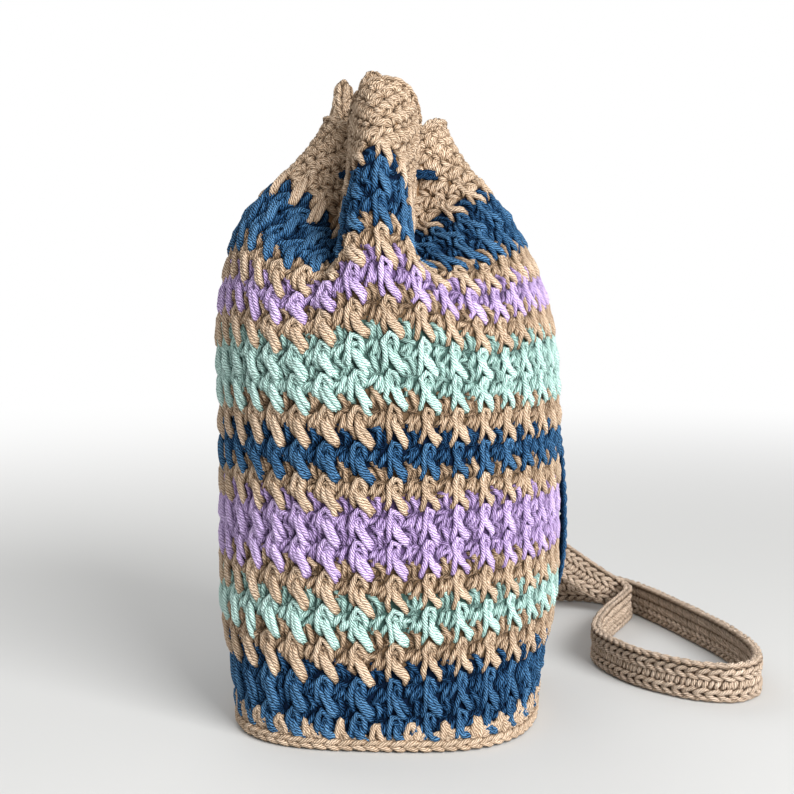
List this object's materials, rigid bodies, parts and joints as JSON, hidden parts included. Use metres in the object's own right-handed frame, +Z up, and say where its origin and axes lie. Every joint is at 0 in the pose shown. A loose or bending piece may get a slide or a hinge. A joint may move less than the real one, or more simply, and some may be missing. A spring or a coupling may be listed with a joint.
{
  "type": "drawstring bag",
  "caption": "Standing crocheted bag with a square base, striped textured wall, collar gathered by a knotted drawstring, and a flat shoulder strap.",
  "frame": {"origin": "middle of the base, on the surface that the bag stands on", "axes": "+Z up through the mouth, -Y towards the front of the bag, +X towards the side where the strap lies"},
  "size_m": [0.2446, 0.258, 0.2782],
  "materials": {
    "bag_yarn": "matt cotton yarn in stripes of tan, denim blue, lilac and pale mint",
    "cord_yarn": "matt denim blue cotton yarn",
    "strap_yarn": "matt tan cotton yarn"
  },
  "bodies": {
    "root": {"bag_body": "bag_yarn", "drawstring": "cord_yarn", "drawstring_tail_right": "cord_yarn", "drawstring_tail_back": "cord_yarn", "drawstring_knot_right": "cord_yarn", "drawstring_knot_back": "cord_yarn", "strap": "strap_yarn"}
  },
  "joints": []
}
